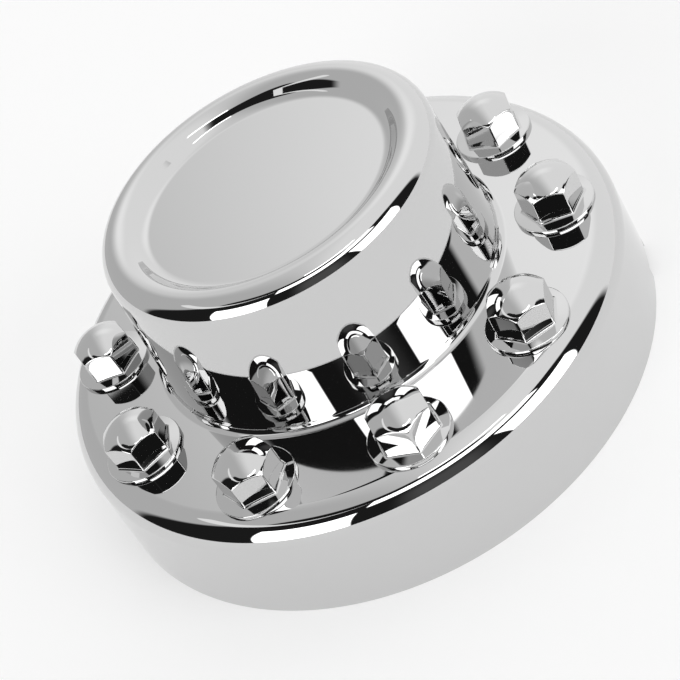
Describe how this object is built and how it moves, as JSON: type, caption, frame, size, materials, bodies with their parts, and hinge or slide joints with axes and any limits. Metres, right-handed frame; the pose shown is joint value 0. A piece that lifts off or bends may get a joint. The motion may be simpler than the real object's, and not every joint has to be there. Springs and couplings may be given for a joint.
{
  "type": "wheel center cap",
  "caption": "Deep round chrome cover for a wheel's hub end, with a skirt, a ring of imitation nuts and a tall drafted hub with a recessed end.",
  "frame": {"origin": "centre of the back rim, in the plane in which the rim rests against the wheel", "axes": "+Z along the axle, away from the wheel; one of the imitation nuts faces -Y"},
  "size_m": [0.36, 0.36, 0.1598],
  "materials": {
    "chrome_plating": "bright chrome plating on moulded ABS"
  },
  "bodies": {
    "root": {"axle_cover": "chrome_plating"}
  },
  "joints": []
}
